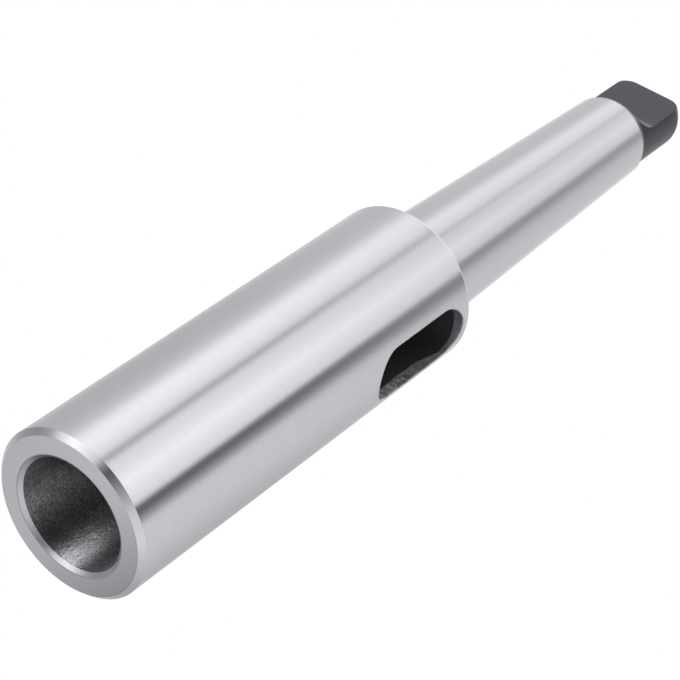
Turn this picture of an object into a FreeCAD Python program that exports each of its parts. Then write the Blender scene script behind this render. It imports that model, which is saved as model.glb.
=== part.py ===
import FreeCAD, Part
import math
import os

import Sketcher
from FreeCAD import Vector

# A taper extension sleeve: a ground steel bar with a size 4 self-holding taper socket in one end,
# a slot across it to drive the tool out again, and a size 4 taper shank with a driving tang on the
# other end. It is one piece. It stands on its mouth: the origin is the centre of the mouth face,
# +Z runs up the axis to the tang, the slot passes through along Y, and the tang's flats face X.

# Driving dimensions in millimetres, as name, value and meaning
DIMENSIONS = (
    # Standard taper, the same for the socket and the shank
    ("gauge_diameter", 31.267, "diameter at the gauge plane"),
    ("taper_ratio", 19.254, "length of taper for 1 of diameter"),
    ("gauge_to_tang_end", 117.5, "gauge plane to the end of the tang"),
    ("tang_length", 24.0, "end of the taper to the end of the tang"),
    # Socket body
    ("body_diameter", 46.5, "outside of the body"),
    ("mouth_chamfer", 1.5, "outer edge of the mouth"),
    ("shoulder_break", 0.4, "outer edge of the shoulder"),
    ("bore_edge_chamfer", 1.0, "edge of the bore at the mouth"),
    ("relief_clearance", 0.09, "clear bore, over the small end of the taper"),
    ("relief_overrun", 14.5, "clear bore, past the start of the slot"),
    ("drill_point_angle", 118.0, "bottom of the clear bore, in degrees"),
    # Drift slot
    ("slot_width", 16.6, "across the slot"),
    ("drift_room", 13.8, "end of a seated tang to the end of the slot"),
    ("slot_land", 2.7, "end of the slot to the shoulder"),
    # Taper shank
    ("shoulder_to_gauge", 17.0, "shoulder to the gauge plane of the shank"),
    ("shank_end_slope", 2.4, "length of the slope from the taper down to the tang"),
    # Driving tang
    ("tang_diameter", 24.4, "across the turned sides"),
    ("tang_thickness", 11.7, "across the flats"),
    ("tang_flat_length", 17.0, "end of the tang to the run-out of the flats"),
    ("tang_runout_radius", 8.0, "cutter that leaves the flats"),
    ("tang_corner_radius", 4.5, "turned corner round the end"),
    # Grinding centre in the end of the tang
    ("centre_diameter", 6.7, "mouth of the centre"),
    ("centre_pilot_diameter", 3.15, "drilled pilot of the centre"),
    ("centre_cone_angle", 60.0, "cone of the centre, in degrees"),
    ("centre_depth", 8.0, "end of the tang to the end of the pilot"),
)

# Places along the axis, from the mouth face upwards
SLOT_START = "(Sizes.gauge_to_tang_end - Sizes.tang_length)"
SLOT_END = "(Sizes.gauge_to_tang_end + Sizes.drift_room)"
RELIEF_END = f"({SLOT_START} + Sizes.relief_overrun)"
SHOULDER = f"({SLOT_END} + Sizes.slot_land)"
SHANK_GAUGE = f"({SHOULDER} + Sizes.shoulder_to_gauge)"
TANG_END = f"({SHANK_GAUGE} + Sizes.gauge_to_tang_end)"
SHANK_END = f"({TANG_END} - Sizes.tang_length)"
FLAT_START = f"({TANG_END} - Sizes.tang_flat_length)"
RUNOUT_START = f"({FLAT_START} - Sizes.tang_runout_radius)"

# Radii
GAUGE_RADIUS = "(Sizes.gauge_diameter / 2)"
BODY_RADIUS = "(Sizes.body_diameter / 2)"
TAPER_END_RADIUS = f"({GAUGE_RADIUS} - {SLOT_START} / Sizes.taper_ratio / 2)"
RELIEF_RADIUS = f"({TAPER_END_RADIUS} + Sizes.relief_clearance / 2)"
RELIEF_START = f"({SLOT_START} - Sizes.relief_clearance * Sizes.taper_ratio)"
SHANK_ROOT_RADIUS = f"({GAUGE_RADIUS} + Sizes.shoulder_to_gauge / Sizes.taper_ratio / 2)"
TANG_RADIUS = "(Sizes.tang_diameter / 2)"
SLOT_RADIUS = "(Sizes.slot_width / 2)"

ORIGIN = (-1, 1)
UPRIGHT_AXIS = -2
LEVEL_AXIS = -1
START, END, CENTRE = 1, 2, 3


def make_sheet(doc):
    """Put the driving dimensions in a sheet, one row each: meaning, then value with its name."""
    sheet = doc.addObject("Spreadsheet::Sheet", "Sizes")
    for row, (name, size, meaning) in enumerate(DIMENSIONS, start=1):
        sheet.set(f"A{row}", meaning)
        sheet.set(f"B{row}", str(size))
        sheet.setAlias(f"B{row}", name)
    doc.recompute()


def plane_of(body, role):
    """Return the body's own origin plane that has this role."""
    return next(plane for plane in body.Origin.OriginFeatures if plane.Role == role)


def side_sketch(body, name):
    """Start a sketch on the plane through the axis, with its x outwards and its y up the axis."""
    sketch = body.newObject("Sketcher::SketchObject", name)
    sketch.AttachmentSupport = [(plane_of(body, "XZ_Plane"), "")]
    sketch.MapMode = "FlatFace"
    return sketch


def point_at(sketch, corner):
    """Work out where a corner lies from its two expressions."""
    x, y = (float(sketch.evalExpression(place)) for place in corner)
    return Vector(x, y, 0)


def bind(sketch, kind, *where, to):
    """Add one dimension between two points, or of one curve, and tie it to the sheet."""
    size = float(sketch.evalExpression(to))
    index = sketch.addConstraint(Sketcher.Constraint(kind, *where, size))
    sketch.setExpression(f"Constraints[{index}]", to)


def place_point(sketch, curve, end, corner):
    """Tie one end of a curve to the place that two expressions give."""
    x, y = corner
    if x == "0":
        sketch.addConstraint(Sketcher.Constraint("PointOnObject", curve, end, UPRIGHT_AXIS))
    else:
        bind(sketch, "DistanceX", *ORIGIN, curve, end, to=x)
    if y == "0":
        sketch.addConstraint(Sketcher.Constraint("PointOnObject", curve, end, LEVEL_AXIS))
    else:
        bind(sketch, "DistanceY", *ORIGIN, curve, end, to=y)


def draw_chain(sketch, corners, closed=True):
    """Draw straight lines through the corners in order and tie each corner to the sheet."""
    points = [point_at(sketch, corner) for corner in corners]
    last = len(points) if closed else len(points) - 1
    lines = []
    for index in range(last):
        line = Part.LineSegment(points[index], points[(index + 1) % len(points)])
        lines.append(sketch.addGeometry(line))
    for line, corner in zip(lines, corners):
        place_point(sketch, line, START, corner)
    for line, following in zip(lines, lines[1:]):
        sketch.addConstraint(Sketcher.Constraint("Coincident", line, END, following, START))
    if closed:
        sketch.addConstraint(Sketcher.Constraint("Coincident", lines[-1], END, lines[0], START))
    else:
        place_point(sketch, lines[-1], END, corners[-1])
    return lines


def draw_arc(sketch, centre, radius, start_angle, end_angle):
    """Draw an arc anticlockwise between two angles in degrees, with its radius tied to the sheet."""
    size = float(sketch.evalExpression(radius))
    circle = Part.Circle(point_at(sketch, centre), Vector(0, 0, 1), size)
    arc = Part.ArcOfCircle(circle, math.radians(start_angle), math.radians(end_angle))
    curve = sketch.addGeometry(arc)
    bind(sketch, "Radius", curve, to=radius)
    return curve


def join(sketch, curve, end, other, other_end):
    """Join two curve ends."""
    sketch.addConstraint(Sketcher.Constraint("Coincident", curve, end, other, other_end))


def volume_of(body):
    """Recompute the model and return the body's volume."""
    body.Document.recompute()
    return body.Shape.Volume


def turned_blank(body):
    """Turn the whole outside: body, shoulder, taper shank and the round blank of the tang."""
    sketch = side_sketch(body, "outside_profile")
    slope_start = f"({SHANK_END} - Sizes.shank_end_slope)"
    slope_radius = f"({TAPER_END_RADIUS} + Sizes.shank_end_slope / Sizes.taper_ratio / 2)"
    round_start = f"({TANG_END} - Sizes.tang_corner_radius)"
    round_centre = f"({TANG_RADIUS} - Sizes.tang_corner_radius)"
    side = draw_chain(
        sketch,
        (
            (round_centre, TANG_END),
            ("0", TANG_END),
            ("0", "0"),
            (f"{BODY_RADIUS} - Sizes.mouth_chamfer", "0"),
            (BODY_RADIUS, "Sizes.mouth_chamfer"),
            (BODY_RADIUS, f"{SHOULDER} - Sizes.shoulder_break"),
            (f"{BODY_RADIUS} - Sizes.shoulder_break", SHOULDER),
            (SHANK_ROOT_RADIUS, SHOULDER),
            (slope_radius, slope_start),
            (TANG_RADIUS, SHANK_END),
            (TANG_RADIUS, round_start),
        ),
        closed=False,
    )
    corner = draw_arc(sketch, (round_centre, round_start), "Sizes.tang_corner_radius", 0, 90)
    join(sketch, corner, START, side[-1], END)
    join(sketch, corner, END, side[0], START)
    blank = body.newObject("PartDesign::Revolution", "turned_blank")
    blank.Profile = sketch
    blank.ReferenceAxis = (sketch, ["V_Axis"])
    blank.Angle = 360
    return blank


def revolved_cut(body, sketch, name):
    """Bore a revolved profile out of the body and make sure that it removed metal."""
    before = volume_of(body)
    cut = body.newObject("PartDesign::Groove", name)
    cut.Profile = sketch
    cut.ReferenceAxis = (sketch, ["V_Axis"])
    cut.Angle = 360
    if volume_of(body) >= before:
        raise RuntimeError(f"{name} removed nothing")
    return cut


def taper_socket(body):
    """Bore the socket: edge chamfer, standard taper, clear bore and drill point."""
    sketch = side_sketch(body, "socket_profile")
    edge_radius = f"({GAUGE_RADIUS} - Sizes.bore_edge_chamfer / Sizes.taper_ratio / 2)"
    point_length = f"({RELIEF_RADIUS} / tan(Sizes.drill_point_angle / 2 * 1 deg))"
    draw_chain(
        sketch,
        (
            ("0", "0"),
            (f"{GAUGE_RADIUS} + Sizes.bore_edge_chamfer", "0"),
            (edge_radius, "Sizes.bore_edge_chamfer"),
            (RELIEF_RADIUS, RELIEF_START),
            (RELIEF_RADIUS, RELIEF_END),
            ("0", f"{RELIEF_END} + {point_length}"),
        ),
    )
    return revolved_cut(body, sketch, "taper_socket")


def through_cut(body, sketch, name):
    """Cut a profile right through, both ways from the sketch, and make sure that it cut."""
    before = volume_of(body)
    cut = body.newObject("PartDesign::Pocket", name)
    cut.Profile = sketch
    cut.SideType = "Symmetric"
    cut.Type = "Length"
    cut.setExpression("Length", "Sizes.body_diameter * 2")
    if volume_of(body) >= before:
        raise RuntimeError(f"{name} removed nothing")
    return cut


def drift_slot(body):
    """Mill the slot with its round ends across the body, from where a seated tang begins."""
    sketch = side_sketch(body, "slot_profile")
    low_centre = ("0", f"{SLOT_START} + {SLOT_RADIUS}")
    high_centre = ("0", f"{SLOT_END} - {SLOT_RADIUS}")
    low = draw_arc(sketch, low_centre, SLOT_RADIUS, 180, 360)
    high = draw_arc(sketch, high_centre, SLOT_RADIUS, 0, 180)
    place_point(sketch, low, CENTRE, low_centre)
    place_point(sketch, high, CENTRE, high_centre)
    for low_end, high_end, side in ((END, START, 1), (START, END, -1)):
        start = point_at(sketch, low_centre) + Vector(side * sketch.evalExpression(SLOT_RADIUS), 0, 0)
        end = point_at(sketch, high_centre) + Vector(side * sketch.evalExpression(SLOT_RADIUS), 0, 0)
        wall = sketch.addGeometry(Part.LineSegment(start, end))
        sketch.addConstraint(Sketcher.Constraint("Tangent", low, low_end, wall, START))
        sketch.addConstraint(Sketcher.Constraint("Tangent", high, high_end, wall, END))
    return through_cut(body, sketch, "drift_slot")


def tang_flats(body):
    """Mill one flat of the tang with its round run-out, and mirror it to the other side."""
    sketch = side_sketch(body, "flat_profile")
    flat = "(Sizes.tang_thickness / 2)"
    runout_foot = f"({flat} + Sizes.tang_runout_radius)"
    clear_of_tang = f"({runout_foot} + {TANG_RADIUS})"
    past_the_end = f"({TANG_END} + Sizes.tang_runout_radius)"
    outline = draw_chain(
        sketch,
        (
            (runout_foot, RUNOUT_START),
            (clear_of_tang, RUNOUT_START),
            (clear_of_tang, past_the_end),
            (flat, past_the_end),
            (flat, FLAT_START),
        ),
        closed=False,
    )
    runout = draw_arc(sketch, (runout_foot, FLAT_START), "Sizes.tang_runout_radius", 180, 270)
    join(sketch, runout, START, outline[-1], END)
    join(sketch, runout, END, outline[0], START)
    first = through_cut(body, sketch, "tang_flat")
    before = body.Shape.Volume
    mirrored = body.newObject("PartDesign::Mirrored", "tang_flats")
    mirrored.Originals = [first]
    mirrored.MirrorPlane = (plane_of(body, "YZ_Plane"), [""])
    body.Tip = mirrored
    if volume_of(body) >= before:
        raise RuntimeError("the second flat removed nothing")
    return mirrored


def grinding_centre(body):
    """Drill the centre that the shank is ground on into the end of the tang."""
    sketch = side_sketch(body, "centre_profile")
    pilot = "(Sizes.centre_pilot_diameter / 2)"
    mouth = "(Sizes.centre_diameter / 2)"
    cone_length = f"(({mouth} - {pilot}) / tan(Sizes.centre_cone_angle / 2 * 1 deg))"
    point_length = f"({pilot} / tan(Sizes.drill_point_angle / 2 * 1 deg))"
    draw_chain(
        sketch,
        (
            ("0", TANG_END),
            (mouth, TANG_END),
            (pilot, f"{TANG_END} - {cone_length}"),
            (pilot, f"{TANG_END} - Sizes.centre_depth"),
            ("0", f"{TANG_END} - Sizes.centre_depth - {point_length}"),
        ),
    )
    return revolved_cut(body, sketch, "grinding_centre")


def check(doc, bodies):
    """Stop if any object failed, or a shape is empty or not valid."""
    for item in doc.Objects:
        if "Invalid" in item.State or "Error" in item.State:
            raise RuntimeError(f"{item.Name} failed: {item.State}")
    for body in bodies:
        if body.Shape.isNull() or not body.Shape.isValid() or len(body.Shape.Solids) != 1:
            raise RuntimeError(f"{body.Label} is not one valid solid")


def main():
    """Build the sleeve, check it and write its solid."""
    doc = FreeCAD.newDocument("taper_sleeve")
    make_sheet(doc)
    sleeve = doc.addObject("PartDesign::Body", "sleeve")
    sleeve.Label = "taper_sleeve"
    sleeve.Placement = FreeCAD.Placement()
    turned_blank(sleeve)
    taper_socket(sleeve)
    drift_slot(sleeve)
    tang_flats(sleeve)
    grinding_centre(sleeve)
    doc.recompute()
    check(doc, [sleeve])
    os.makedirs("parts", exist_ok=True)
    sleeve.Shape.exportStep(os.path.join("parts", f"{sleeve.Label}.step"))
    box = sleeve.Shape.BoundBox
    print(f"{sleeve.Label}: {box.XLength:.2f} x {box.YLength:.2f} x {box.ZLength:.2f} mm, "
          f"{sleeve.Shape.Volume / 1000:.2f} cm3, {len(sleeve.Shape.Faces)} faces")


main()
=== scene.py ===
"""Looks for a size 4 taper extension sleeve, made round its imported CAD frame.

The sleeve is one piece of ground steel. It stands on its mouth, with its axis along +Z, its
drift slot through it along Y and the flats of its tang facing X. Sizes are in millimetres up to
the point where a mesh is written, in metres. The one visible piece is a closed surface worked out
from the same sizes as the frame, with the small edge breaks and finishes that the frame lacks.
"""

import logging
import math
from dataclasses import dataclass, field
from enum import Enum, IntEnum
from typing import ClassVar, NamedTuple, Sequence

import bmesh
import bpy
import numpy as np
from mathutils import Matrix, Vector


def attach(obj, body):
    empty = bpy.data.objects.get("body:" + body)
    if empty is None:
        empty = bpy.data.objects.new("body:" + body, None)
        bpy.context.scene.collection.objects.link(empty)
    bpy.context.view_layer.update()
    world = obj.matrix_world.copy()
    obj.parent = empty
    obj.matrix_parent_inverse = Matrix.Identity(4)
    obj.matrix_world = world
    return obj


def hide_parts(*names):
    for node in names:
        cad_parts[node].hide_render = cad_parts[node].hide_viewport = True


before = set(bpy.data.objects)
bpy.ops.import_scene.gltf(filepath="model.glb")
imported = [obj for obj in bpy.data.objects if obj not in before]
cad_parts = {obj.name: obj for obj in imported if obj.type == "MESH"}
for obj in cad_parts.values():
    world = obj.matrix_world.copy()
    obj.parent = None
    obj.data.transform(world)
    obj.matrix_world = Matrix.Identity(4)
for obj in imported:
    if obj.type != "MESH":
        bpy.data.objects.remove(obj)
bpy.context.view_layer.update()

Colour = tuple[float, float, float]
Wire = bpy.types.NodeSocket

LOG = logging.getLogger("sleeve")
METRES = 0.001
NODE = "taper_sleeve"
BODY = "root"
WHITE: Colour = (1.0, 1.0, 1.0)
NOISE_MIDDLE = (0.3, 0.7)
SPECK_MIDDLE = (0.32, 0.68)
SMALLEST_TURN = 1e-6


class Zone(IntEnum):
    """The finishes of the sleeve, in the order of its material slots."""

    GROUND = 0
    TURNED = 1
    BORE_EDGE = 2
    BORE = 3
    SLOT_WALL = 4
    BLACK = 5


class Side(Enum):
    """The two halves of the body that the drift slot leaves beside it, by bearing in degrees."""

    FRONT = 0.0
    BACK = 180.0


@dataclass(frozen=True)
class Corner:
    """One corner of a turned profile.

    Attributes:
        radius: Distance from the axis.
        height: Distance up the axis from the mouth face.
        rounding: Radius of the arc that breaks the corner, or 0 for a sharp one.
    """

    radius: float
    height: float
    rounding: float = 0.0


@dataclass(frozen=True)
class Patch:
    """A part of a surface: a grid of points, rows by columns by three, and its finish."""

    points: np.ndarray
    zone: Zone

    def quads(self, first: int) -> np.ndarray:
        """Join neighbouring points of the grid to four-sided faces.

        Args:
            first: Number of the patch's first point in the whole mesh.

        Returns:
            Array of faces by four point numbers.
        """
        rows, columns = self.points.shape[:2]
        number = first + np.arange(rows * columns).reshape(rows, columns)
        corners = (number[:-1, :-1], number[:-1, 1:], number[1:, 1:], number[1:, :-1])
        return np.stack([corner.ravel() for corner in corners], axis=1)


def lay_mesh(name: str, patches: Sequence[Patch], materials: Sequence[bpy.types.Material]
             ) -> bpy.types.Object:
    """Write patches into one mesh, in metres, and put its object into the scene.

    Args:
        name: Name of the object and its mesh.
        patches: The patches, whose shared points aren't welded yet.
        materials: One material for each zone, in the zones' order.

    Returns:
        The object.
    """
    counts = np.cumsum([0] + [patch.points[..., 0].size for patch in patches])
    points = np.concatenate([patch.points.reshape(-1, 3) for patch in patches]) * METRES
    quads = [patch.quads(int(first)) for patch, first in zip(patches, counts)]
    zones = np.concatenate([np.full(len(quad), patch.zone) for patch, quad in zip(patches, quads)])
    mesh = bpy.data.meshes.new(name)
    mesh.from_pydata(points.tolist(), [], np.concatenate(quads).tolist())
    for material in materials:
        mesh.materials.append(material)
    mesh.polygons.foreach_set("material_index", zones.astype(np.int32))
    piece = bpy.data.objects.new(name, mesh)
    bpy.context.scene.collection.objects.link(piece)
    return piece


def rounded_profile(corners: Sequence[Corner], step: float = 12.0, guard: float = 0.06
                    ) -> np.ndarray:
    """Follow a profile through its corners, with an arc tangent to both sides at each break.

    An arc of radius q that turns by t starts q * tan(t / 2) before the corner. A point after the
    angle s lies q * sin(s) along the first side and q * (1 - cos(s)) towards the second. One more
    point stands close to each end of an arc, so that the straight sides stay flat in the light.

    Args:
        corners: The profile's corners in order.
        step: The most degrees that an arc turns from one point to the next.
        guard: Distance of the extra points from the arc.

    Returns:
        Array of points by two: radius and height.
    """
    places = np.array([(corner.radius, corner.height) for corner in corners])
    pieces = [places[:1]]
    for before, here, after, corner in zip(places, places[1:], places[2:], corners[1:-1]):
        along = (here - before) / np.linalg.norm(here - before)
        onward = (after - here) / np.linalg.norm(after - here)
        turn = math.acos(float(np.clip(along @ onward, -1, 1)))
        if corner.rounding == 0 or turn < SMALLEST_TURN:
            pieces.append(here[None])
            continue
        inward = (onward - along * math.cos(turn)) / math.sin(turn)
        start = here - along * corner.rounding * math.tan(turn / 2)
        angle = np.linspace(0, turn, math.ceil(math.degrees(turn) / step) + 1)[:, None]
        arc = start + corner.rounding * (np.sin(angle) * along + (1 - np.cos(angle)) * inward)
        pieces += [arc[:1] - guard * along, arc, arc[-1:] + guard * onward]
    pieces.append(places[-1:])
    return np.concatenate(pieces)


def revolve(profile: np.ndarray, bearings: np.ndarray) -> np.ndarray:
    """Turn a profile round the axis: x = r cos(b), y = r sin(b), z = height.

    Args:
        profile: Array of points by two: radius and height.
        bearings: Angles in radians, one for each column, or a row of them for each point.

    Returns:
        Array of points by bearings by three.
    """
    radius, height = profile[:, :1], profile[:, 1:]
    bearings = np.broadcast_to(bearings, (len(profile), bearings.shape[-1]))
    rows = (radius * np.cos(bearings), radius * np.sin(bearings), height + 0 * bearings)
    return np.stack(rows, axis=2)


@dataclass(frozen=True)
class Taper:
    """The standard size 4 self-holding taper that the socket and the shank share."""

    gauge_diameter: float = 31.267
    ratio: float = 19.254
    gauge_to_tang_end: float = 117.5
    tang_length: float = 24.0

    def radius(self, past_gauge: float) -> float:
        """Find the radius at a distance from the gauge plane towards the small end."""
        return self.gauge_diameter / 2 - past_gauge / self.ratio / 2

    @property
    def length(self) -> float:
        """Length of the taper from its gauge plane to its small end."""
        return self.gauge_to_tang_end - self.tang_length


@dataclass(frozen=True)
class DriftSlot:
    """The round-ended slot through the body that a wedge goes in to drive a tool out."""

    bottom: float = 93.5
    top: float = 131.3
    width: float = 16.6
    edge_break: float = 0.22
    arc_steps: int = 18
    side_steps: int = 12
    break_steps: int = 8
    depth_steps: int = 6
    depth_guard: float = 0.01

    def outline(self, offset: float, extra: Sequence[float]) -> np.ndarray:
        """Follow the right-hand half of the slot's outline from its lowest to its highest point.

        The round ends are half circles of radius w / 2 + offset, and the sides stand offset
        further out. All offsets have the same number of points, so that they make a grid.

        Args:
            offset: How far the outline is moved outwards.
            extra: More heights at which the straight side has a point.

        Returns:
            Array of points by two: half width and height.
        """
        radius = self.width / 2 + offset
        low, high = self.bottom + self.width / 2, self.top - self.width / 2
        angle = np.linspace(-math.pi / 2, 0, self.arc_steps + 1)
        across, rise = radius * np.cos(angle), radius * np.sin(angle)
        between = np.linspace(low, high, self.side_steps + 1)[1:-1]
        heights = np.unique(np.concatenate([between, np.array(extra)]))
        return np.concatenate([
            np.stack([across, low + rise], axis=1),
            np.stack([np.full_like(heights, radius), heights], axis=1),
            np.stack([across[::-1], high - rise[::-1]], axis=1),
        ])


@dataclass(frozen=True)
class Socket:
    """The taper socket: edge chamfer, standard taper, clear bore and drill point."""

    taper: Taper = Taper()
    edge_chamfer: float = 1.0
    edge_break: float = 0.15
    clearance: float = 0.09
    overrun: float = 14.5
    point_angle: float = 118.0

    @property
    def clear_radius(self) -> float:
        """Radius of the clear bore behind the taper."""
        return self.taper.radius(self.taper.length) + self.clearance / 2

    @property
    def clear_start(self) -> float:
        """Height at which the taper has narrowed to the clear bore."""
        return self.taper.length - self.clearance * self.taper.ratio

    @property
    def clear_end(self) -> float:
        """Height at which the drill point starts."""
        return self.taper.length + self.overrun

    @property
    def mouth_radius(self) -> float:
        """Radius of the bore's chamfer at the mouth face."""
        return self.taper.radius(0) + self.edge_chamfer

    @property
    def narrowing(self) -> float:
        """How much the drill point's radius narrows in a millimetre of height."""
        return math.tan(math.radians(self.point_angle / 2))

    def radius(self, height: np.ndarray) -> np.ndarray:
        """Find the radius of the clear bore and of the drill point's cone at each height."""
        past = np.maximum(height - self.clear_end, 0)
        return np.maximum(self.clear_radius - past * self.narrowing, 0)

    def height_of(self, radius: float) -> float:
        """Find the height at which the drill point has narrowed to a radius."""
        return self.clear_end + (self.clear_radius - radius) / self.narrowing


@dataclass(frozen=True)
class Body:
    """The outside of the socket's end, from the mouth face to the shoulder."""

    radius: float = 23.25
    mouth_chamfer: float = 1.5
    shoulder: float = 134.0
    shoulder_chamfer: float = 0.4
    shoulder_break: float = 0.3
    edge_break: float = 0.15
    half_columns: int = 128

    def bearings(self, side: Side, half_angle: np.ndarray | float) -> np.ndarray:
        """Spread the columns of one half evenly, by the angle from its middle to the slot."""
        share = np.linspace(-1, 1, self.half_columns + 1)
        return math.radians(side.value) + np.atleast_1d(half_angle)[:, None] * share

    def halves(self, profile: np.ndarray, half_angle: np.ndarray | float, zone: Zone
               ) -> list[Patch]:
        """Turn a profile round the axis, as one patch for each half beside the slot."""
        return [Patch(revolve(profile, self.bearings(side, half_angle)), zone) for side in Side]

    def turned(self, zone: Zone, *corners: Corner) -> list[Patch]:
        """Turn a profile with broken corners all round, from the bore outwards and up."""
        return self.halves(rounded_profile(corners), math.pi / 2, zone)


@dataclass(frozen=True)
class Shank:
    """The taper shank above the shoulder."""

    taper: Taper = Taper()
    gauge_height: float = 151.0
    end_slope: float = 2.4
    root_rounding: float = 0.3

    def radius(self, height: float) -> float:
        """Find the radius of the shank at a height above the mouth face."""
        return self.taper.radius(height - self.gauge_height)

    @property
    def end(self) -> float:
        """Height of the small end, where the tang starts."""
        return self.gauge_height + self.taper.length

    @property
    def slope_start(self) -> float:
        """Height at which the taper ends and the slope down to the tang starts."""
        return self.end - self.end_slope


@dataclass(frozen=True)
class Tang:
    """The driving tang: a round end with two milled flats, and a grinding centre in it."""

    shank: Shank = Shank()
    radius: float = 12.2
    thickness: float = 11.7
    flat_length: float = 17.0
    runout_radius: float = 8.0
    corner_radius: float = 4.5
    long_edge_break: float = 0.35
    end_edge_break: float = 0.3
    centre_diameter: float = 6.7
    pilot_diameter: float = 3.15
    centre_angle: float = 60.0
    centre_depth: float = 8.0
    point_angle: float = 118.0
    hair: float = 1e-4
    search_steps: int = 4000
    runout_steps: int = 22
    runout_crowding: float = 1.5
    straight_steps: int = 4
    corner_steps: int = 16
    flat_steps: int = 8
    flat_guard: float = 0.985
    edge_steps: int = 6
    face_steps: int = 3

    @property
    def end(self) -> float:
        """Height of the tang's end face."""
        return self.shank.end + self.shank.taper.tang_length

    @property
    def flat_start(self) -> float:
        """Height at which the flats are straight and their run-outs end."""
        return self.end - self.flat_length

    def first_cut(self) -> float:
        """Find the height at which the cutter's run-out leaves the slope below the tang.

        Both radii are worked out at closely spaced heights, and the place where their difference
        changes its sign is read off between two of them. A hair below it the outline is still
        round, so that it meets the foot of the tang point by point.

        Returns:
            The highest height at which the flats haven't cut into the round yet.
        """
        lowest = self.flat_start - self.runout_radius
        height = np.linspace(lowest, self.flat_start, self.search_steps + 1)
        gap = self.round_radius(height) - self.half_thickness(height)
        return float(np.interp(0.0, gap, height)) - self.hair

    def heights(self) -> np.ndarray:
        """Choose the heights of the tang's rows.

        The run-out is part of a circle, so its rows are spread by angle: z = flat start - R sin(a).
        The turned corner is spread by angle too: z = corner start + r sin(a).

        Returns:
            Heights from the first row of the run-out to the end face.
        """
        def rise(steps: int) -> np.ndarray:
            """Spread the sine over a quarter turn."""
            return np.sin(np.linspace(0, math.pi / 2, steps + 1))

        first = math.asin((self.flat_start - self.first_cut()) / self.runout_radius)
        share = np.linspace(0, 1, self.runout_steps + 1) ** self.runout_crowding
        runout = self.flat_start - self.runout_radius * np.sin(first * (1 - share))
        corner_start = self.end - self.corner_radius
        between = np.linspace(self.flat_start, corner_start, self.straight_steps + 1)[1:-1]
        corner = corner_start + self.corner_radius * rise(self.corner_steps)
        edge = self.end - self.end_edge_break * (1 - rise(self.edge_steps))
        rows = np.concatenate([runout, [self.shank.end], between, corner, edge])
        return np.unique(np.round(rows, 6))

    def half_thickness(self, height: np.ndarray) -> np.ndarray:
        """Find the distance of the flats from the middle: run-out, flat, and break at the end.

        Args:
            height: Heights above the mouth face.

        Returns:
            Half the thickness at each height.
        """
        below = np.clip(self.flat_start - height, 0, self.runout_radius)
        rise = self.runout_radius - np.sqrt(self.runout_radius**2 - below**2)
        edge = self.end_edge_break
        near = np.clip(height - (self.end - edge), 0, edge)
        return self.thickness / 2 + rise - (edge - np.sqrt(edge**2 - near**2))

    def round_radius(self, height: np.ndarray) -> np.ndarray:
        """Find the radius of the tang's round: slope at its foot, straight side, turned corner.

        Args:
            height: Heights above the mouth face.

        Returns:
            The radius at each height.
        """
        shank, corner = self.shank, self.corner_radius
        widening = (shank.radius(shank.slope_start) - self.radius) / shank.end_slope
        below = np.maximum(shank.end - height, 0)
        above = np.clip(height - (self.end - corner), 0, corner)
        return self.radius + widening * below - corner + np.sqrt(corner**2 - above**2)

    def section(self, height: np.ndarray, arc_columns: int) -> np.ndarray:
        """Work out the tang's outline at each height, as a circle cut by two flats.

        An edge break of radius q touches the circle and the flat, so its centre lies at
        x = b - q and y = sqrt((r - q)^2 - (b - q)^2). The second half is the first one turned by
        half a turn.

        Args:
            height: Heights above the mouth face.
            arc_columns: Number of columns on each round side.

        Returns:
            Array of heights by columns by three, with the first column repeated at the end.
        """
        radius, flat = self.round_radius(height)[:, None], self.half_thickness(height)[:, None]
        flat = np.minimum(flat, radius)
        edge = self.long_edge_break
        across = flat - edge
        along = np.sqrt(np.maximum((radius - edge) ** 2 - across**2, 0))
        meeting = np.arctan2(across, along)
        arc = math.pi / 2 + meeting * np.linspace(-1, 1, arc_columns + 1)
        quarter = np.linspace(0, 1, self.edge_steps + 1)
        first = math.pi / 2 + meeting + (math.pi / 2 - meeting) * quarter
        second = 2 * math.pi - first[:, ::-1]
        guards = [self.flat_guard, -self.flat_guard]
        level = np.insert(np.linspace(1, -1, self.flat_steps + 1), [1, self.flat_steps], guards)
        level = along * level
        x = (radius * np.cos(arc), edge * np.cos(first) - across, level * 0 - flat,
             edge * np.cos(second) - across)
        y = (radius * np.sin(arc), edge * np.sin(first) + along, level,
             edge * np.sin(second) - along)
        half = np.stack([np.concatenate(x, axis=1), np.concatenate(y, axis=1)], axis=2)
        ring = np.concatenate([half, -half, half[:, :1]], axis=1)
        up = np.broadcast_to(height[:, None, None], ring.shape[:2] + (1,))
        return np.concatenate([ring, up], axis=2)

    def centre_profile(self) -> np.ndarray:
        """Follow the grinding centre from its mouth to the bottom of its pilot.

        Returns:
            Array of points by two: radius and height.
        """
        mouth, pilot = self.centre_diameter / 2, self.pilot_diameter / 2
        cone = (mouth - pilot) / math.tan(math.radians(self.centre_angle / 2))
        point = pilot / math.tan(math.radians(self.point_angle / 2))
        floor = self.end - self.centre_depth
        return np.array([(mouth, self.end), (pilot, self.end - cone), (pilot, floor),
                         (0, floor - point)])

    def patches(self, arc_columns: int) -> list[Patch]:
        """Build the tang above its foot: sides and flats, end face and grinding centre.

        The end face is ruled straight from the outline to the mouth of the centre, and the
        centre's columns keep the outline's bearings.

        Args:
            arc_columns: Number of columns on each round side.

        Returns:
            The sides, the end face and the centre.
        """
        sides = self.section(self.heights(), arc_columns)
        rim = sides[-1]
        centre = revolve(self.centre_profile(), np.arctan2(rim[:, 1], rim[:, 0])[None])
        share = np.linspace(0, 1, self.face_steps + 1)[:, None, None]
        face = rim[None] * (1 - share) + centre[:1] * share
        return [Patch(points, Zone.BLACK) for points in (sides, face, centre)]


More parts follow.
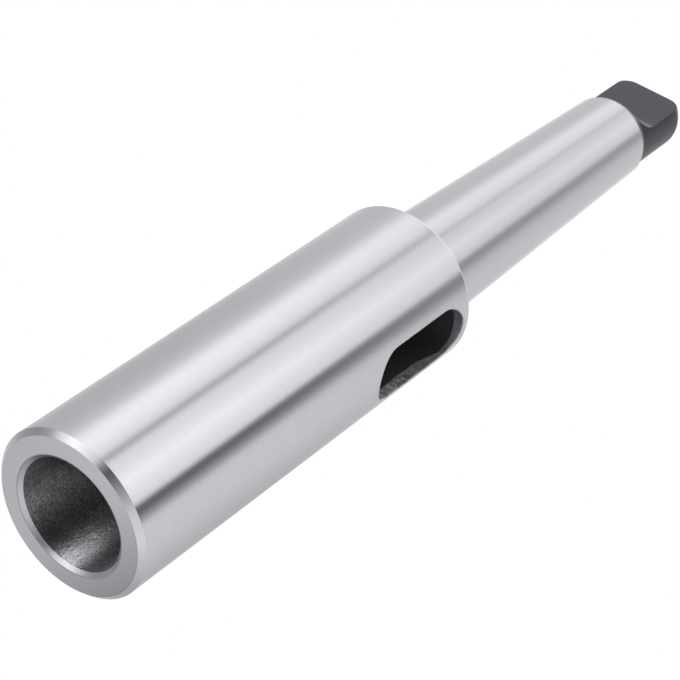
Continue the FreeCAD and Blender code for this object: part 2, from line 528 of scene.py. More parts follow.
@dataclass
class Sleeve:
    """The whole sleeve: its parts, its closed surface and its finishes."""

    body: Body = field(default_factory=Body)
    socket: Socket = field(default_factory=Socket)
    slot: DriftSlot = field(default_factory=DriftSlot)
    tang: Tang = field(default_factory=Tang)
    weld: float = 0.002
    sharp_angle: float = 17.0
    tip_steps: int = 6

    def slot_stations(self) -> np.ndarray:
        """List the heights at which the bore needs rows of its own beside the slot."""
        tip = self.socket.height_of(self.slot.width / 2)
        return np.linspace(self.socket.clear_end, tip, self.tip_steps + 1)

    def mouth(self) -> list[Patch]:
        """Turn the mouth: bore, bore chamfer, face, outer chamfer and the body up to the slot."""
        socket, body = self.socket, self.body
        inner = Corner(socket.taper.radius(socket.edge_chamfer), socket.edge_chamfer)
        face_start = Corner(socket.mouth_radius + 2 * socket.edge_break, 0)
        outer = Corner(body.radius, body.mouth_chamfer)
        return [
            *body.turned(Zone.BORE, Corner(socket.clear_radius, self.slot.bottom),
                         Corner(socket.clear_radius, socket.clear_start), inner),
            *body.turned(Zone.BORE_EDGE, inner,
                         Corner(socket.mouth_radius, 0, socket.edge_break), face_start),
            *body.turned(Zone.TURNED, face_start,
                         Corner(body.radius - body.mouth_chamfer, 0, body.edge_break), outer),
            *body.turned(Zone.GROUND, outer,
                         Corner(body.radius, self.slot.bottom - self.slot.edge_break)),
        ]

    def beside_slot(self) -> list[Patch]:
        """Bend the body's columns round the slot, outside and in the bore.

        At each height the slot takes away asin(w / r) of the half turn at each of its edges,
        where w is the slot's half width there and r the radius of the body or the bore.

        Returns:
            The body's two halves, and the bore's two halves up to where the slot cuts it off.
        """
        stations = self.slot_stations()
        outer = self.slot.outline(self.slot.edge_break, stations)
        inner = self.slot.outline(0.0, stations)
        inner = inner[inner[:, 1] <= stations[-1] + SMALLEST_TURN][::-1]
        patches = []
        for zone, outline, radius in (
            (Zone.GROUND, outer, np.full(len(outer), self.body.radius)),
            (Zone.BORE, inner, self.socket.radius(inner[:, 1])),
        ):
            half_angle = math.pi / 2 - np.arcsin(np.clip(outline[:, 0] / radius, 0, 1))
            profile = np.stack([radius, outline[:, 1]], axis=1)
            patches += self.body.halves(profile, half_angle, zone)
        return patches

    def slot_walls(self) -> list[Patch]:
        """Mill the slot's walls, with a small break at the outside.

        The break is a quarter circle of radius q: after the angle a, the outline stands
        q (1 - sin a) outside the slot and q (1 - cos a) below the body's surface. Behind it the
        wall runs straight in to the bore, or to the middle where no bore is left.

        Returns:
            Four edge breaks and four walls.
        """
        slot, stations = self.slot, self.slot_stations()
        turn = np.linspace(0, math.pi / 2, slot.break_steps + 1)
        offsets, depths = slot.edge_break * (1 - np.sin(turn)), slot.edge_break * (1 - np.cos(turn))
        outlines = np.stack([slot.outline(offset, stations) for offset in offsets], axis=1)
        out = np.sqrt((self.body.radius - depths) ** 2 - outlines[..., 0] ** 2)
        rim = np.stack([outlines[..., 0], out, outlines[..., 1]], axis=2)
        edge = rim[:, -1:]
        bore = self.socket.radius(edge[..., 2])
        inner = np.sqrt(np.maximum(bore**2 - edge[..., 0] ** 2, 0))
        depth = np.insert(np.linspace(0, 1, slot.depth_steps + 1), 1, slot.depth_guard)[None]
        across = edge[..., 1] * (1 - depth) + inner * depth
        wall = np.stack([edge[..., 0] + 0 * across, across, edge[..., 2] + 0 * across], axis=2)
        mirrors = [np.array([x_sign, y_sign, 1]) for x_sign in (1, -1) for y_sign in (1, -1)]
        return [Patch(points * mirror, Zone.SLOT_WALL) for mirror in mirrors
                for points in (rim, wall)]

    def above_slot(self) -> list[Patch]:
        """Turn the end of the body, the shoulder, the taper shank and the foot of the tang."""
        body, shank, tang = self.body, self.tang.shank, self.tang
        slope = Corner(shank.radius(shank.slope_start), shank.slope_start)
        first_row = float(tang.heights()[0])
        return [
            *body.turned(
                Zone.GROUND,
                Corner(body.radius, self.slot.top + self.slot.edge_break),
                Corner(body.radius, body.shoulder - body.shoulder_chamfer, body.shoulder_break),
                Corner(body.radius - body.shoulder_chamfer, body.shoulder, body.edge_break),
                Corner(shank.radius(body.shoulder), body.shoulder, shank.root_rounding),
                slope,
            ),
            *body.turned(Zone.BLACK, slope, Corner(float(tang.round_radius(first_row)), first_row)),
        ]

    def build(self, materials: Sequence[bpy.types.Material]) -> bpy.types.Object:
        """Join the patches to one closed surface and make it the sleeve's visible piece.

        Points that two patches share are welded, and the faces are turned outwards on the closed
        surface. Edges that turn by more than a few degrees are shaded sharp.

        Args:
            materials: One material for each zone, in the zones' order.

        Returns:
            The finished object.
        """
        patches = [*self.mouth(), *self.beside_slot(), *self.slot_walls(), *self.above_slot(),
                   *self.tang.patches(self.body.half_columns)]
        piece = lay_mesh("sleeve", patches, materials)
        self.close(piece.data)
        piece.data.polygons.foreach_set("use_smooth", np.ones(len(piece.data.polygons), bool))
        piece.data.set_sharp_from_angle(angle=math.radians(self.sharp_angle))
        return piece

    def close(self, mesh: bpy.types.Mesh) -> None:
        """Weld the patches' shared points, turn the faces outwards and report any gap left.

        Args:
            mesh: The mesh to close.
        """
        work = bmesh.new()
        work.from_mesh(mesh)
        bmesh.ops.remove_doubles(work, verts=work.verts, dist=self.weld * METRES)
        bmesh.ops.recalc_face_normals(work, faces=work.faces)
        if work.calc_volume(signed=True) < 0:
            bmesh.ops.reverse_faces(work, faces=work.faces)
        open_edges = sum(not edge.is_manifold for edge in work.edges)
        volume = work.calc_volume() / METRES**3 / 1000
        LOG.info("sleeve: %d faces, %d open edges, %.2f cm3", len(work.faces), open_edges, volume)
        work.to_mesh(mesh)
        work.free()


class Sheet:
    """A thin helper that adds and joins the nodes of one node tree."""

    def __init__(self, tree: bpy.types.NodeTree) -> None:
        """Keep the tree to work on."""
        self.tree = tree

    def add(self, kind: str, inputs: dict[str | int, object] | None = None, **settings: object
            ) -> bpy.types.Node:
        """Add a node, set its options and connect or set its inputs.

        Args:
            kind: The node's type name.
            inputs: Numbers, colours, or sockets to connect, by input name or number.
            **settings: Options of the node.

        Returns:
            The new node.
        """
        node = self.tree.nodes.new(kind)
        for name, value in settings.items():
            setattr(node, name, value)
        for key, value in (inputs or {}).items():
            socket = node.inputs[key]
            if isinstance(value, Wire):
                self.tree.links.new(value, socket)
            else:
                socket.default_value = (*value, 1.0) if socket.type == "RGBA" else value
        return node

    def math(self, operation: str, *values: Wire | float) -> Wire:
        """Work numbers out with a Math node."""
        return self.add("ShaderNodeMath", dict(enumerate(values)), operation=operation).outputs[0]

    def times(self, first: Wire | float, second: Wire | float) -> Wire:
        """Multiply two numbers."""
        return self.math("MULTIPLY", first, second)

    def plus(self, first: Wire | float, second: Wire | float) -> Wire:
        """Add two numbers."""
        return self.math("ADD", first, second)

    def place(self) -> Wire:
        """Take the coordinates of the piece, in metres."""
        return self.add("ShaderNodeTexCoord").outputs["Object"]

    def split(self, vector: Wire) -> Sequence[Wire]:
        """Take a vector apart into x, y and z."""
        return self.add("ShaderNodeSeparateXYZ", {0: vector}).outputs

    def join(self, x: Wire | float, y: Wire | float, z: Wire | float) -> Wire:
        """Put a vector together."""
        return self.add("ShaderNodeCombineXYZ", {0: x, 1: y, 2: z}).outputs[0]

    def off_axis(self, x: Wire, y: Wire) -> Wire:
        """Work out the distance from the axis, the square root of x * x + y * y."""
        return self.math("SQRT", self.plus(self.times(x, x), self.times(y, y)))

    def vector(self, operation: str, inputs: dict[str | int, object]) -> bpy.types.Node:
        """Work on vectors or colours with a Vector Math node."""
        return self.add("ShaderNodeVectorMath", inputs, operation=operation)

    def scale(self, vector: Wire, share: float) -> Wire:
        """Multiply a vector or a colour by a number."""
        return self.vector("SCALE", {0: vector, "Scale": share}).outputs[0]

    def noise(self, vector: Wire, fineness: Wire | float, detail: float = 2.0) -> Wire:
        """Add a noise, with finer layers on it for more detail."""
        inputs = {"Vector": vector, "Scale": fineness, "Detail": detail}
        return self.add("ShaderNodeTexNoise", inputs).outputs["Fac"]

    def spread(self, value: Wire, low: float, high: float, to_low: float = 0.0,
               to_high: float = 1.0) -> Wire:
        """Stretch a value from the range low to high to another one, and clamp it there."""
        inputs = dict(enumerate((value, low, high, to_low, to_high)))
        return self.add("ShaderNodeMapRange", inputs, clamp=True).outputs["Result"]

    def tint(self, share: Wire, first: Wire | Colour, second: Wire | Colour) -> Wire:
        """Mix two colours by the second one's share."""
        inputs = {0: share, 6: first, 7: second}
        return self.add("ShaderNodeMix", inputs, data_type="RGBA").outputs[2]

    def shade(self, share: Wire, colour: Colour, low: float, high: float) -> Wire:
        """Make a colour darker or lighter, by two factors that it varies between."""
        dark, light = (tuple(part * factor for part in colour) for factor in (low, high))
        return self.tint(share, dark, light)


class GroupSheet(Sheet):
    """The nodes of a shared shader group. All it takes and gives are numbers."""

    def __init__(self, name: str, inputs: dict[str, float], outputs: Sequence[str]) -> None:
        """Start the group.

        Args:
            name: Name of the group.
            inputs: Default of each input, by name.
            outputs: Names of the outputs.
        """
        super().__init__(bpy.data.node_groups.new(name, "ShaderNodeTree"))
        new_socket = self.tree.interface.new_socket
        for label, default in inputs.items():
            socket = new_socket(label, in_out="INPUT", socket_type="NodeSocketFloat")
            socket.default_value = default
        for label in outputs:
            new_socket(label, in_out="OUTPUT", socket_type="NodeSocketFloat")
        self.given = self.tree.nodes.new("NodeGroupInput").outputs
        self.leave = self.tree.nodes.new("NodeGroupOutput").inputs

    def give(self, **results: Wire) -> bpy.types.NodeTree:
        """Connect the outputs and hand the group over.

        Args:
            **results: Socket for each output, by its name.

        Returns:
            The finished group.
        """
        for name, wire in results.items():
            self.tree.links.new(wire, self.leave[name])
        return self.tree


def turning_lines_group() -> bpy.types.NodeTree:
    """Make the fine lines that a wheel or a tool leaves round the axis.

    A noise is squeezed along the axis and outwards, so that it changes quickly from line to line
    and slowly round the axis. Half the shade comes from it and half from a wider one. A third
    noise is the slight waviness under the lines.

    Returns:
        The group, with the lines' Height, a Shade from 0 to 1 and the Waviness.
    """
    per_metre_round, wider, flatter = 35.0, 0.21, 3.0
    sheet = GroupSheet("turning_lines", {"Lines per mm": 3.0, "Wave length mm": 8.0},
                       ("Height", "Shade", "Waviness"))
    x, y, z = sheet.split(sheet.place())
    along = sheet.times(sheet.plus(z, sheet.off_axis(x, y)), 1 / METRES)
    squeezed = sheet.join(sheet.times(x, per_metre_round), sheet.times(y, per_metre_round),
                          sheet.times(along, sheet.given["Lines per mm"]))
    fine = sheet.noise(squeezed, 1.0, 3.0)
    coarse = sheet.noise(sheet.scale(squeezed, wider), 1.0)
    waves = sheet.math("DIVIDE", 1 / METRES, sheet.given["Wave length mm"])
    stretched = sheet.join(sheet.times(x, waves), sheet.times(y, waves),
                           sheet.times(z, sheet.times(waves, flatter)))
    return sheet.give(Height=fine, Waviness=sheet.noise(stretched, 1.0, 1.0),
                      Shade=sheet.plus(sheet.times(fine, 0.5), sheet.times(coarse, 0.5)))


def speckle_group() -> bpy.types.NodeTree:
    """Make the speckle of a surface that was never polished after its heat treatment.

    A fine noise is sharpened to small light and dark spots, and a coarse one makes clouds.

    Returns:
        The group, with a Mask from 0 to 1 and a Cloud from 0 to 1.
    """
    sheet = GroupSheet("speckle", {"Grain mm": 0.4, "Cloud mm": 6.0, "Stretch": 1.0},
                       ("Mask", "Cloud"))
    x, y, z = sheet.split(sheet.place())
    stretched = sheet.join(x, y, sheet.times(z, sheet.given["Stretch"]))
    grain = sheet.noise(stretched, sheet.math("DIVIDE", 1 / METRES, sheet.given["Grain mm"]), 3.0)
    cloud = sheet.noise(stretched, sheet.math("DIVIDE", 1 / METRES, sheet.given["Cloud mm"]))
    return sheet.give(Mask=sheet.spread(grain, *SPECK_MIDDLE),
                      Cloud=sheet.spread(cloud, *NOISE_MIDDLE))


@dataclass(frozen=True)
class Groups:
    """The shared node groups, each built once."""

    lines: bpy.types.NodeTree = field(default_factory=turning_lines_group)
    speckle: bpy.types.NodeTree = field(default_factory=speckle_group)


class Coat(Sheet):
    """The nodes of one finish's material, with its Principled shader."""

    def __init__(self, finish: "Finish", groups: Groups) -> None:
        """Start the material and set what is the same all over it.

        Args:
            finish: The finish to start.
            groups: The shared node groups.
        """
        self.material = bpy.data.materials.new(finish.name)
        self.material.use_nodes = True
        self.material.diffuse_color = (*finish.colour, 1.0)
        super().__init__(self.material.node_tree)
        self.groups = groups
        self.shader = next(node for node in self.tree.nodes if node.type == "BSDF_PRINCIPLED")
        even = {"Base Color": (*finish.colour, 1.0), "Roughness": finish.roughness}
        for name, value in {**even, **finish.even}.items():
            self.shader.inputs[name].default_value = value

    def lines(self, **inputs: float) -> bpy.types.bpy_prop_collection:
        """Add the turning lines, with _ for a space in the names of their inputs."""
        inputs = {name.replace("_", " "): value for name, value in inputs.items()}
        return self.add("ShaderNodeGroup", inputs, node_tree=self.groups.lines).outputs

    def speckle(self, grain: float, cloud: float, stretch: float = 1.0
                ) -> bpy.types.bpy_prop_collection:
        """Add the speckle, by the size of its grains and clouds in millimetres."""
        inputs = dict(enumerate((grain, cloud, stretch)))
        return self.add("ShaderNodeGroup", inputs, node_tree=self.groups.speckle).outputs

    def bump(self, height: Wire, depth: float, **under: Wire) -> Wire:
        """Raise the surface by a depth in millimetres, over another normal if there is one."""
        inputs = {"Height": height, "Strength": 1.0, "Distance": depth * METRES, **under}
        return self.add("ShaderNodeBump", inputs).outputs[0]

    def lay(self) -> Wire:
        """Turn the lay of the surface round the axis."""
        return self.add("ShaderNodeTangent", direction_type="RADIAL", axis="Z").outputs[0]

    def feed(self, **wires: Wire) -> None:
        """Connect the shader's inputs, with _ for a space in their names."""
        for name, wire in wires.items():
            self.tree.links.new(wire, self.shader.inputs[name.replace("_", " ")])


@dataclass(frozen=True)
class Finish:
    """What every finish has.

    Attributes:
        name: Name of the material.
        colour: Base colour, linear.
        roughness: Middle roughness.
        even: Other values of the shader that are the same all over.
    """

    name: str
    colour: Colour
    roughness: float
    even: ClassVar[dict[str, float]] = {}

    def build(self, groups: Groups) -> bpy.types.Material:
        """Make the material.

        Args:
            groups: The shared node groups.

        Returns:
            The material, dressed.
        """
        coat = Coat(self, groups)
        self.dress(coat)
        return coat.material

    def dress(self, coat: Coat) -> None:
        """Add what changes over the surface. Each finish does it in its own way."""
        raise NotImplementedError


@dataclass(frozen=True)
class GroundSteel(Finish):
    """Bright steel ground between centres: fine lines round the axis and a soft sheen."""

    name: str = "ground_steel"
    colour: Colour = (0.757, 0.757, 0.786)
    roughness: float = 0.16
    even: ClassVar[dict[str, float]] = {
        "Metallic": 1.0, "Anisotropic": 0.5, "Anisotropic Rotation": 0.25}
    lines_per_mm: float = 3.0
    line_height: float = 0.0003
    wave_length: float = 5.0
    wave_height: float = 0.0035
    colour_change: float = 0.015
    roughness_change: float = 0.06

    def dress(self, coat: Coat) -> None:
        """Lay the ground lines over the waviness, with the light ones a little smoother.

        Args:
            coat: The material's nodes.
        """
        marks = coat.lines(Lines_per_mm=self.lines_per_mm, Wave_length_mm=self.wave_length)
        share, change = coat.spread(marks["Shade"], *NOISE_MIDDLE), self.colour_change
        dull, smooth = (self.roughness * (1 + sign * self.roughness_change) for sign in (1, -1))
        waves = coat.bump(marks["Waviness"], self.wave_height)
        coat.feed(Base_Color=coat.shade(share, self.colour, 1 - change, 1 + change),
                  Roughness=coat.spread(marks["Shade"], *NOISE_MIDDLE, dull, smooth),
                  Normal=coat.bump(marks["Height"], self.line_height, Normal=waves),
                  Tangent=coat.lay())


@dataclass(frozen=True)
class TurnedSteel(Finish):
    """The faced mouth: rings from the facing tool, a little duller than the ground outside."""

    name: str = "turned_face"
    colour: Colour = (0.752, 0.752, 0.78)
    roughness: float = 0.18
    even: ClassVar[dict[str, float]] = {"Metallic": 1.0}
    lines_per_mm: float = 3.0
    line_height: float = 0.0006
    darkest: float = 0.97

    def dress(self, coat: Coat) -> None:
        """Cut the rings.

        Args:
            coat: The material's nodes.
        """
        marks = coat.lines(Lines_per_mm=self.lines_per_mm)
        share = coat.spread(marks["Shade"], *NOISE_MIDDLE)
        coat.feed(Base_Color=coat.shade(share, self.colour, self.darkest, 1.0),
                  Normal=coat.bump(marks["Height"], self.line_height))


@dataclass(frozen=True)
class BoreSteel(Finish):
    """The bore: charcoal from the heat treatment, with a speckled sheen where the reamer cut."""

    name: str = "dark_bore"
    colour: Colour = (0.19, 0.19, 0.20)
    light: Colour = (0.66, 0.66, 0.69)
    roughness: float = 0.34
    even: ClassVar[dict[str, float]] = {
        "Metallic": 1.0, "Anisotropic": 1.0, "Anisotropic Rotation": 0.25}
    grain: float = 0.7
    grain_height: float = 0.04
    cloud: float = 5.0
    stretch: float = 2.5
    thinnest: float = 0.55
    fleck_size: float = 0.45
    fleck_height: float = 0.06
    fleck_range: tuple[float, float] = (0.42, 0.68)
    fleck_roughness: tuple[float, float] = (0.9, 1.5)

    def dress(self, coat: Coat) -> None:
        """Scatter light grains, thinner between the clouds, and rough flecks over them.

        Args:
            coat: The material's nodes.
        """
        spots = coat.speckle(self.grain, self.cloud, self.stretch)
        share = coat.times(spots["Mask"], coat.spread(spots["Cloud"], 0, 1, self.thinnest, 1.0))
        flecks = coat.noise(coat.place(), 1 / METRES / self.fleck_size)
        smooth, rough = (self.roughness * factor for factor in self.fleck_roughness)
        grains = coat.bump(spots["Mask"], self.grain_height)
        coat.feed(Base_Color=coat.tint(share, self.colour, self.light),
                  Roughness=coat.spread(flecks, *self.fleck_range, smooth, rough),
                  Normal=coat.bump(flecks, self.fleck_height, Normal=grains),
                  Tangent=coat.lay())


@dataclass(frozen=True)
class SlotWallSteel(Finish):
    """The slot: a milled band of mottled grey along its mouth, and black behind it.

    The band shows the cutter's lines, which run round the slot at an even depth. The black behind
    it is painted shade for the shadow inside the slot. The band's inner edge, where the painted
    shade starts, narrows towards one spot, the pinch, and its lower end is rubbed bright.
    """

    name: str = "slot_wall"
    colour: Colour = (0.34, 0.34, 0.37)
    # Painted shade: the black that the walls get deeper in the slot, standing for the shadow inside
    # it.
    black: Colour = (0.08, 0.08, 0.08)
    worn: Colour = (0.90, 0.90, 0.90)
    roughness: float = 0.5
    even: ClassVar[dict[str, float]] = {"Metallic": 0.6}
    grain: float = 0.8
    cloud: float = 5.0
    # Where the painted shade starts: its distance from the axis, its softness, its raggedness and
    # the pinch that narrows the band.
    painted_shade_edge: float = 20.2
    painted_shade_softness: float = 0.2
    raggedness: float = 0.2
    rag_fineness: float = 400.0
    pinch_place: tuple[float, float, float] = (-7.2, 0.0, 127.0)
    pinch: float = 1.6
    pinch_reach: tuple[float, float] = (1.5, 9.0)
    lines_per_mm: float = 2.2
    line_range: tuple[float, float] = (0.35, 0.65)
    line_share: float = 0.4
    mottling: tuple[float, float] = (0.40, 1.8)
    rubbed_heights: tuple[float, float] = (106.0, 116.0)
    rubbed: tuple[float, float] = (0.80, 0.15)
    fleck_fineness: float = 800.0
    fleck_range: tuple[float, float] = (0.45, 0.58)

    def dress(self, coat: Coat) -> None:
        """Lay the milled band on the black, with its lines, its pinch and its rubbed flecks.

        Args:
            coat: The material's nodes.
        """
        place, cloud = coat.place(), coat.speckle(self.grain, self.cloud)["Cloud"]
        x, y, z = coat.split(place)
        depth = coat.off_axis(x, y)
        centre = tuple(part * METRES for part in self.pinch_place)
        away = coat.vector("DISTANCE", {0: coat.join(x, 0.0, z), 1: centre}).outputs["Value"]
        near, far = (reach * METRES for reach in self.pinch_reach)
        # Painted shade: inside this edge, measured from the axis, the walls turn black for the
        # shadow deep in the slot. The pinch and the rag move the edge.
        pinch = coat.spread(away, near, far, self.pinch * METRES, 0.0)
        rag, soft = self.raggedness * METRES, self.painted_shade_softness * METRES
        ragged = coat.spread(coat.noise(place, self.rag_fineness), *NOISE_MIDDLE, -rag, rag)
        edge = coat.plus(coat.plus(pinch, ragged), self.painted_shade_edge * METRES)
        band = coat.spread(coat.math("SUBTRACT", depth, edge), -soft, soft)
        squeezed = coat.join(x, y, coat.times(depth, self.lines_per_mm / METRES))
        lines = coat.spread(coat.noise(squeezed, 1.0), *self.line_range)
        share = coat.plus(coat.times(lines, self.line_share),
                          coat.times(cloud, 1 - self.line_share))
        mottled = coat.shade(share, self.colour, *self.mottling)
        low, high = (height * METRES for height in self.rubbed_heights)
        specks = coat.spread(coat.noise(place, self.fleck_fineness, 4.0), *self.fleck_range)
        flecks = coat.times(coat.spread(z, low, high, *self.rubbed), specks)
        rubbed = coat.tint(flecks, mottled, self.worn)
        # Walls deeper than the edge get the black of the painted shade. Nearer the outside they
        # keep the milled band.
        coat.feed(Base_Color=coat.tint(band, self.black, rubbed))


@dataclass(frozen=True)
class BlackOxide(Finish):
    """The tang: left black from its heat treatment, smooth and slightly glossy."""

    name: str = "black_tang"
    colour: Colour = (0.022, 0.019, 0.031)
    roughness: float = 0.32
    grain: float = 0.6
    cloud: float = 7.0
    colour_range: tuple[float, float] = (0.88, 1.12)
    roughness_range: tuple[float, float] = (1.1, 0.92)

    def dress(self, coat: Coat) -> None:
        """Cloud the black a little, and let its grains shine.

        Args:
            coat: The material's nodes.
        """
        spots = coat.speckle(self.grain, self.cloud)
        rough, smooth = (self.roughness * factor for factor in self.roughness_range)
        coat.feed(Base_Color=coat.shade(spots["Cloud"], self.colour, *self.colour_range),
                  Roughness=coat.spread(spots["Mask"], 0, 1, rough, smooth))


class LightPanel(NamedTuple):
    """One sheet of the light tent. Between two sheets the light fades evenly.

    Attributes:
        name: What the sheet is.
        bearing: Where it hangs, in degrees round the sleeve from the camera's side.
        low: Brightness in the lower part of its ring.
        high: Brightness in the upper part of its ring.
    """

    name: str
    bearing: float
    low: float
    high: float


@dataclass(frozen=True)
class Ring:
    """One ring of light sheets round the sleeve.

    Attributes:
        blend: Rises, as sines of the elevation, where the low brightness ends and the high starts.
        panels: The sheets, from behind the sleeve over the camera's side to behind it again.
    """

    blend: tuple[float, float]
    panels: tuple[tuple[str, float, float, float], ...]

    def hang(self, sheet: Sheet, share: Wire, rise: Wire) -> Wire:
        """Hang the ring as two ramps of brightness, and blend them by the rise.

        Args:
            sheet: Sheet on the world's tree.
            share: Share of the whole turn, from behind the sleeve.
            rise: Sine of the elevation.

        Returns:
            The brightness as a colour.
        """
        panels = [LightPanel(*panel) for panel in self.panels]
        low = self.ramp(sheet, share, [(panel.bearing, panel.low) for panel in panels])
        high = self.ramp(sheet, share, [(panel.bearing, panel.high) for panel in panels])
        return sheet.tint(sheet.spread(rise, *self.blend), low, high)

    @staticmethod
    def ramp(sheet: Sheet, share: Wire, stops: Sequence[tuple[float, float]]) -> Wire:
        """Make one ramp of brightness round the sleeve.

        Args:
            sheet: Sheet on the world's tree.
            share: Share of the whole turn, from behind the sleeve.
            stops: Bearing and brightness of each sheet.

        Returns:
            The brightness as a colour.
        """
        node = sheet.add("ShaderNodeValToRGB", {0: share})
        steps = node.color_ramp.elements
        top = max(value for _, value in stops)
        for index, (bearing, value) in enumerate(stops):
            place = bearing / 360 + 0.5
            step = steps[index] if index < 2 else steps.new(place)
            step.position = place
            step.color = (value / top, value / top, value / top, 1.0)
        return sheet.scale(node.outputs[0], top)


@dataclass(frozen=True)
class LightTent:
    """The soft studio light all round: pale walls, a bright ceiling and dark gaps between sheets.

    Attributes:
        walls: The sheets above the floor. The shank reflects them higher than the body does.
        below: The sheets below it, which also stand for what the pale floor throws back.
        horizon: Rises between which the sheets below turn into the walls.
        ceiling: Brightness straight above.
        ceiling_edge: Rises between which the walls turn into the ceiling.
        haze: Faint light from all round, which tints the dark gaps.
        camera_bearing: Bearing of the camera in the sleeve's frame.
    """

    walls: Ring = Ring((0.63, 0.76), (
        ("behind", -180, 0.64, 0.80), ("behind_left", -168, 0.67, 0.84),
        ("far_left", -155, 0.60, 0.78), ("left_back", -138, 0.53, 0.66),
        ("left", -108, 0.55, 0.65), ("left_front", -95, 0.61, 0.65),
        ("strip_edge", -84, 0.70, 0.74), ("strip_left", -72, 1.02, 0.91),
        ("strip_middle", -64, 1.12, 0.94), ("strip_right", -54, 1.09, 0.90),
        ("strip_fade", -43, 0.96, 0.85), ("seam_left", -37, 0.84, 0.76),
        ("seam", -31, 0.42, 0.66), ("seam_right", -27, 0.62, 0.71),
        ("front_left", -22, 0.90, 0.74), ("front", -12, 0.95, 0.77),
        ("front_light", 5, 1.15, 0.87), ("front_right", 18, 1.01, 0.78),
        ("front_edge", 32, 0.88, 0.70), ("gap_left", 38, 0.10, 0.50),
        ("gap_right", 44, 0.12, 0.38), ("gap_fade", 52, 0.34, 0.37),
        ("right_edge", 61, 0.72, 0.46), ("right_front", 72, 0.74, 0.58),
        ("right", 95, 0.70, 0.66), ("right_back", 120, 0.61, 0.67),
        ("far_right", 138, 0.53, 0.68), ("far_right_shade", 155, 0.50, 0.84),
        ("behind_right", 167, 0.57, 0.90), ("behind", 180, 0.60, 0.80),
    ))
    below: Ring = Ring((-0.59, -0.52), (
        ("behind", -180, 0.82, 0.62), ("behind_left", -175, 0.50, 0.47),
        ("far_left", -150, 0.55, 0.42), ("left", -120, 0.40, 0.32),
        ("left_front", -105, 0.50, 0.40), ("strip_left", -97, 0.82, 0.75),
        ("strip_middle", -80, 1.16, 1.20), ("strip_right", -69, 1.06, 12.00),
        ("strip_edge", -55, 0.94, 11.00), ("strip_fade", -44, 0.84, 1.00),
        ("gap_left", -33, 0.27, 0.04), ("gap", -19, 0.05, 0.03),
        ("gap_right", -5, 0.20, 0.03), ("front_right", 23, 0.47, 0.15),
        ("right_front", 50, 0.77, 1.40), ("right", 85, 0.85, 0.80),
        ("right_back", 105, 0.77, 0.68), ("far_right", 142, 0.42, 0.42),
        ("far_right_shade", 165, 0.06, 0.03), ("behind_shade", 177.2, 0.32, 0.02),
        ("behind_right", 178.6, 1.00, 0.30), ("behind", 180, 0.82, 0.62),
    ))
    horizon: tuple[float, float] = (-0.12, 0.12)
    ceiling: float = 1.8
    ceiling_edge: tuple[float, float] = (0.84, 0.95)
    haze: Colour = (0.003, 0.0, 0.010)
    camera_bearing: float = 34.0

    def build(self) -> None:
        """Make the world: the tent for light and reflections, and plain white for the camera."""
        world = bpy.data.worlds.new("light_tent")
        bpy.context.scene.world = world
        world.use_nodes = True
        world.node_tree.nodes.clear()
        sheet = Sheet(world.node_tree)
        turned = sheet.add("ShaderNodeVectorRotate", {
            "Vector": sheet.add("ShaderNodeTexCoord").outputs["Generated"],
            "Axis": (0.0, 0.0, 1.0), "Angle": -math.radians(self.camera_bearing),
        }, rotation_type="AXIS_ANGLE").outputs[0]
        x, y, rise = sheet.split(turned)
        bearing = sheet.math("ARCTAN2", y, x)
        share = sheet.plus(sheet.math("DIVIDE", bearing, 2 * math.pi), 0.5)
        below = self.below.hang(sheet, share, rise)
        walls = self.walls.hang(sheet, share, rise)
        upper = sheet.tint(sheet.spread(rise, *self.ceiling_edge), walls, (self.ceiling,) * 3)
        sheets = sheet.tint(sheet.spread(rise, *self.horizon), below, upper)
        light = sheet.vector("ADD", {0: sheets, 1: self.haze}).outputs[0]
        tent, white = (sheet.add("ShaderNodeBackground", {"Color": colour}).outputs[0]
                       for colour in (light, WHITE))
        seen = sheet.add("ShaderNodeLightPath").outputs["Is Camera Ray"]
        mixed = sheet.add("ShaderNodeMixShader", {0: seen, 1: tent, 2: white})
        sheet.add("ShaderNodeOutputWorld", {"Surface": mixed.outputs[0]})


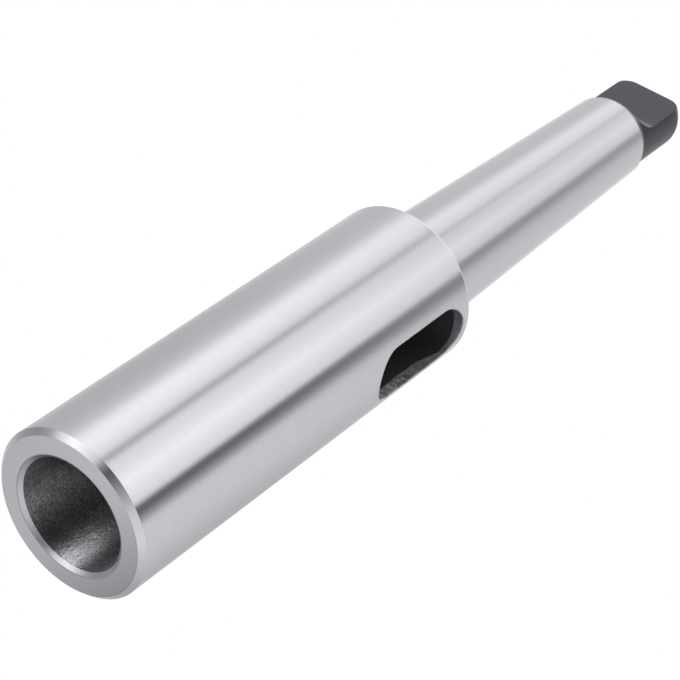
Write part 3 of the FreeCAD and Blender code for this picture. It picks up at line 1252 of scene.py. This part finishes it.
@dataclass(frozen=True)
class Floor:
    """A plain pale floor that the sleeve stands on, seen from above only.

    Attributes:
        inner_radius: Radius of the hole under the mouth face.
        outer_radius: Radius of the whole floor.
        rings: Rings of points, from the hole outwards.
        columns: Faces round the axis.
        colour: Its colour, linear.
        fade: Distances from the axis between which it turns white.
    """

    inner_radius: float = 21.75
    outer_radius: float = 8000.0
    rings: int = 24
    columns: int = 128
    colour: Colour = (0.80, 0.80, 0.80)
    fade: tuple[float, float] = (600.0, 5000.0)

    def build(self) -> bpy.types.Object:
        """Make the floor as a wide flat ring with its hole under the mouth face.

        The rings' radii grow evenly in their logarithm: r = inner (outer / inner)^share.

        Returns:
            The floor.
        """
        share = np.linspace(0, 1, self.rings)
        radius = self.inner_radius * (self.outer_radius / self.inner_radius) ** share
        profile = np.stack([radius, np.zeros_like(radius)], axis=1)
        points = revolve(profile, np.linspace(0, 2 * math.pi, self.columns + 1)[None])
        floor = lay_mesh("floor", [Patch(points[::-1], Zone.GROUND)], [self.paper()])
        floor.visible_glossy = False
        floor.visible_diffuse = False
        floor.visible_shadow = False
        return floor

    def paper(self) -> bpy.types.Material:
        """Make the floor's material: matt from above, clear from below, white far away.

        Returns:
            The material.
        """
        material = bpy.data.materials.new("pale_floor")
        material.use_nodes = True
        material.node_tree.nodes.clear()
        sheet = Sheet(material.node_tree)
        matt = sheet.add("ShaderNodeBsdfDiffuse", {"Color": self.colour}).outputs[0]
        white = sheet.add("ShaderNodeEmission", {"Color": WHITE, "Strength": 1.0}).outputs[0]
        away = sheet.vector("LENGTH", {0: sheet.place()}).outputs["Value"]
        far = sheet.spread(away, *(reach * METRES for reach in self.fade))
        top = sheet.add("ShaderNodeMixShader", {0: far, 1: matt, 2: white}).outputs[0]
        clear = sheet.add("ShaderNodeBsdfTransparent").outputs[0]
        below = sheet.add("ShaderNodeNewGeometry").outputs["Backfacing"]
        mixed = sheet.add("ShaderNodeMixShader", {0: below, 1: top, 2: clear})
        sheet.add("ShaderNodeOutputMaterial", {"Surface": mixed.outputs[0]})
        return material


@dataclass(frozen=True)
class PhotoCamera:
    """The camera at the photograph's viewing angle, below the mouth and to one side of the slot.

    Attributes:
        bearing: Degrees round the axis from the front flat of the tang towards the slot.
        from_below: Degrees between the line of sight and the axis, seen from straight below.
        distance: Metres from the point on the axis that it is aimed at.
        aim_height: Height of that point, in metres.
        roll: Degrees that the picture's right-hand side is turned from the axis.
        pan: Degrees that the camera is turned sideways from its aim.
        tilt: Degrees that the camera is turned up or down from its aim.
        lens: Focal length in millimetres.
        sensor_width: Width of the sensor in millimetres.
        clip: Nearest and furthest distance that it sees, in metres.
    """

    bearing: float = 34.007
    from_below: float = 47.748
    distance: float = 0.61101
    aim_height: float = 0.10496
    roll: float = 35.230
    pan: float = 0.3026
    tilt: float = -0.0889
    lens: float = 120.883
    sensor_width: float = 36.0
    clip: tuple[float, float] = (0.01, 50.0)

    def build(self) -> bpy.types.Object:
        """Make the camera and give it to the scene.

        The picture's right-hand direction is the sleeve's axis as the camera sees it, turned by
        the roll in the picture's plane.

        Returns:
            The camera.
        """
        angles = (self.bearing, self.from_below, self.roll)
        bearing, below, roll = (math.radians(angle) for angle in angles)
        level_part, down_part = math.sin(below), math.cos(below)
        out = Vector((level_part * math.cos(bearing), level_part * math.sin(bearing), -down_part))
        aim, axis, sight = Vector((0, 0, self.aim_height)), Vector((0, 0, 1)), -out
        level = (axis - sight * axis.dot(sight)).normalized()
        aside = sight.cross(level)
        right = level * math.cos(roll) + aside * math.sin(roll)
        down = aside * math.cos(roll) - level * math.sin(roll)
        tilted = Matrix.Rotation(math.radians(self.tilt), 3, "Y")
        turned = tilted @ Matrix.Rotation(math.radians(self.pan), 3, "X")
        rows = turned @ Matrix((right, down, sight))
        data = bpy.data.cameras.new("photo_camera")
        data.sensor_width, data.lens = self.sensor_width, self.lens
        data.clip_start, data.clip_end = self.clip
        camera = bpy.data.objects.new("photo_camera", data)
        bpy.context.scene.collection.objects.link(camera)
        columns = Matrix((rows[0], -rows[1], -rows[2])).transposed()
        camera.matrix_world = Matrix.Translation(aim + out * self.distance) @ columns.to_4x4()
        bpy.context.scene.camera = camera
        return camera


def main() -> None:
    """Set the studio up and build the sleeve."""
    logging.basicConfig(level=logging.INFO, format="%(name)s: %(message)s")
    bpy.context.scene.view_settings.view_transform = "Standard"
    PhotoCamera().build()
    LightTent().build()
    floor = Floor().build()
    groups = Groups()
    finishes = (
        GroundSteel(),
        TurnedSteel(),
        TurnedSteel(name="turned_edge", colour=(0.60, 0.60, 0.63), roughness=0.30),
        BoreSteel(),
        SlotWallSteel(),
        BlackOxide(),
    )
    piece = Sleeve().build([finish.build(groups) for finish in finishes])
    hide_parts(NODE)
    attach(piece, BODY)
    LOG.info("built %s with %d materials", piece.name, len(finishes))


if __name__ == "__main__":
    main()
